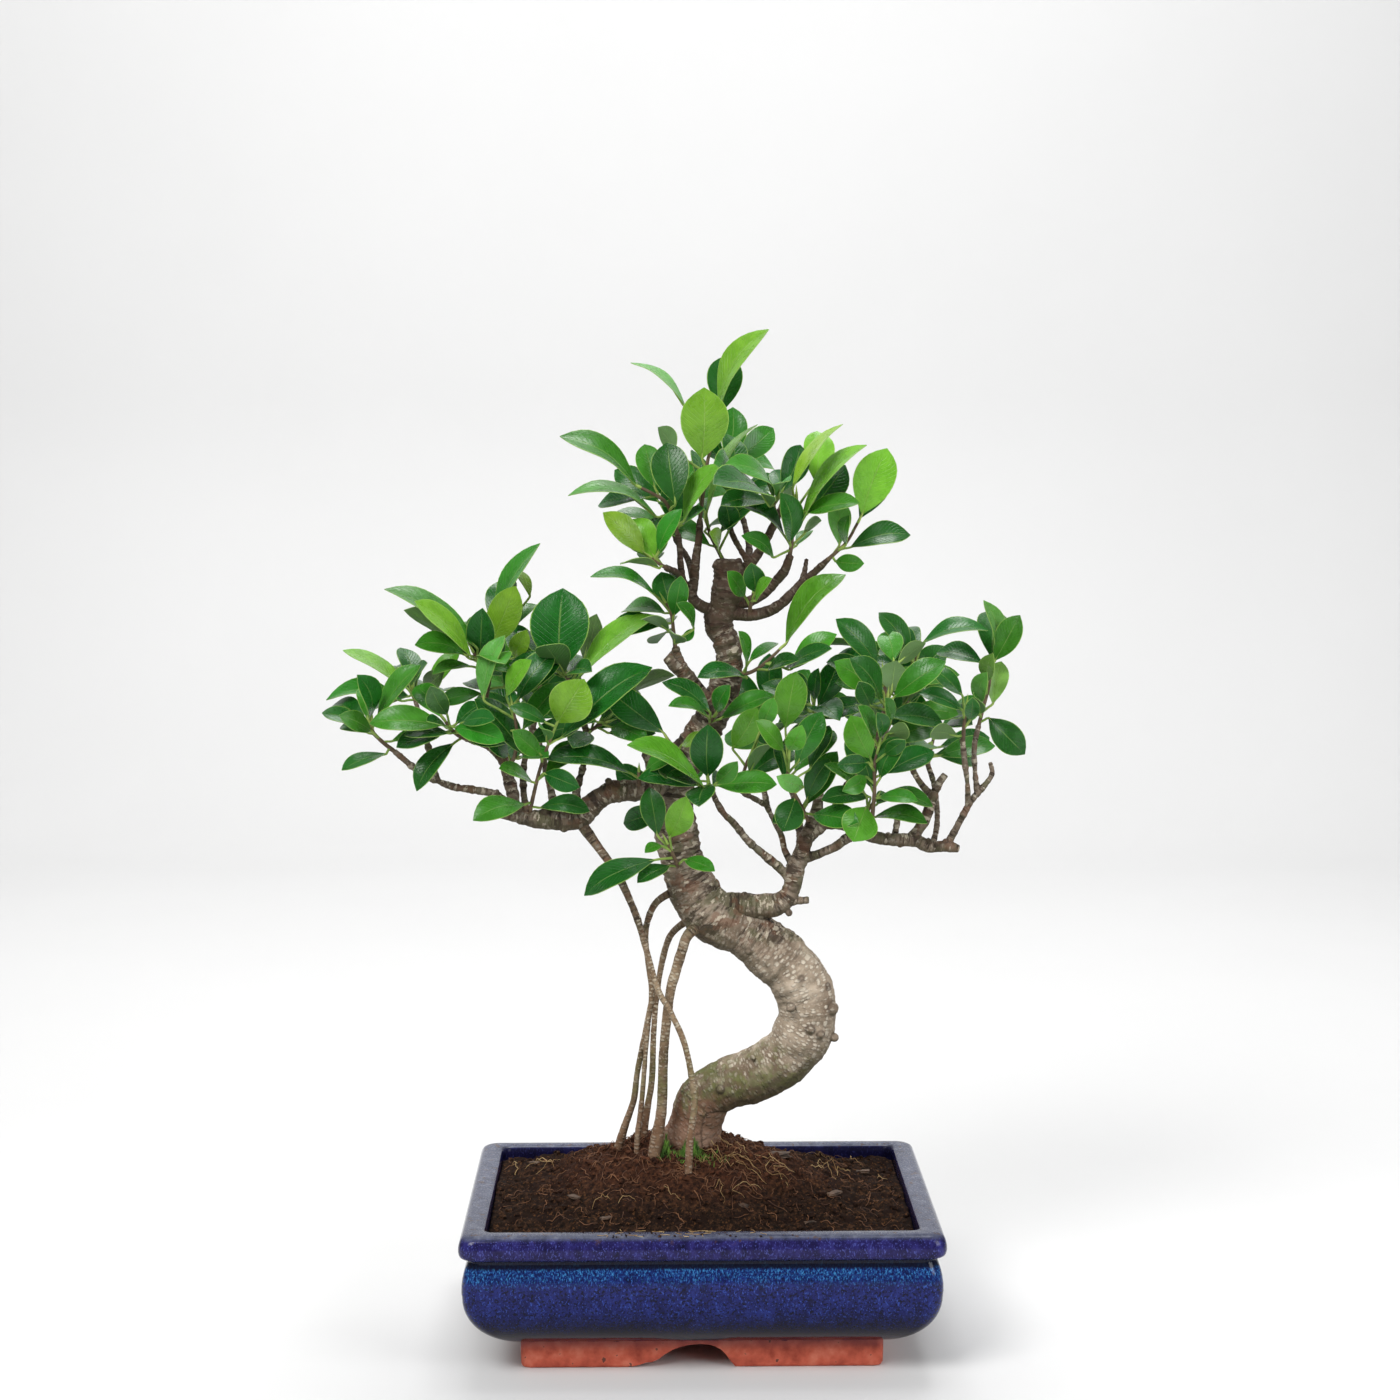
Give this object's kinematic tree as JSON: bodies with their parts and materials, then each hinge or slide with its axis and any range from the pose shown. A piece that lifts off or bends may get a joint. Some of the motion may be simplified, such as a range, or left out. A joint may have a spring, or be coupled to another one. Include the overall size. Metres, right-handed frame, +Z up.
{
  "type": "bonsai tree in a pot",
  "caption": "S-shaped ficus bonsai with free-hanging aerial roots and glossy leaves, growing in a rectangular cobalt-blue glazed pot on a bare terracotta foot.",
  "frame": {"origin": "middle of the base of the whole bounding box, on the plane the pot stands on", "axes": "+Z up along the tree, -Y towards the front of the pot, +X to the viewer's right along the pot's long side"},
  "size_m": [0.3436, 0.17, 0.4956],
  "materials": {
    "glaze": "glossy mottled cobalt glaze with a speckled turquoise band under the rim; the foot is bare matt terracotta",
    "soil": null,
    "bark": "matt grey-tan bark with pale cross dashes",
    "root_bark": "matt brown root bark",
    "leaf": null,
    "screen_plastic": "black moulded mesh"
  },
  "bodies": {
    "root": {"aerial_root_back": "root_bark", "aerial_root_limb": "root_bark", "aerial_root_outer": "root_bark", "aerial_root_thick": "root_bark", "crown_branch_left": "bark", "crown_branch_middle": "bark", "crown_branch_right": "bark", "crown_branch_top": "bark", "dead_stub": "bark", "drain_screen_left": "screen_plastic", "drain_screen_right": "screen_plastic", "limb_far_right": "bark", "limb_left": "bark", "limb_right": "bark", "pot": "glaze", "shoot_apex": "leaf", "shoot_back_centre": "leaf", "shoot_back_crown": "leaf", "shoot_back_far_right": "leaf", "shoot_back_left": "leaf", "shoot_back_left_low": "leaf", "shoot_back_right": "leaf", "shoot_back_trunk": "leaf", "shoot_back_upper_left": "leaf", "shoot_centre_deep": "leaf", "shoot_centre_high": "leaf", "shoot_centre_left": "leaf", "shoot_centre_mid": "leaf", "shoot_centre_right": "leaf", "shoot_centre_top": "leaf", "shoot_crown_arch": "leaf", "shoot_crown_inner": "leaf", "shoot_crown_left_low": "leaf", "shoot_crown_left_top": "leaf", "shoot_crown_mid": "leaf", "shoot_crown_right_low": "leaf", "shoot_crown_right_top": "leaf", "shoot_crown_top_left": "leaf", "shoot_left_big": "leaf", "shoot_left_core": "leaf", "shoot_left_end": "leaf", "shoot_left_far": "leaf", "shoot_left_green": "leaf", "shoot_left_inner": "leaf", "shoot_left_mid": "leaf", "shoot_left_tall": "leaf", "shoot_left_top": "leaf", "shoot_limb_left": "leaf", "shoot_low": "leaf", "shoot_neck_left": "leaf", "shoot_right_far": "leaf", "shoot_right_far_low": "leaf", "shoot_right_front": "leaf", "shoot_right_low": "leaf", "shoot_right_mid": "leaf", "shoot_right_out": "leaf", "shoot_right_top": "leaf", "shoot_trunk_left": "leaf", "soil": "soil", "trunk": "bark"}
  },
  "joints": []
}
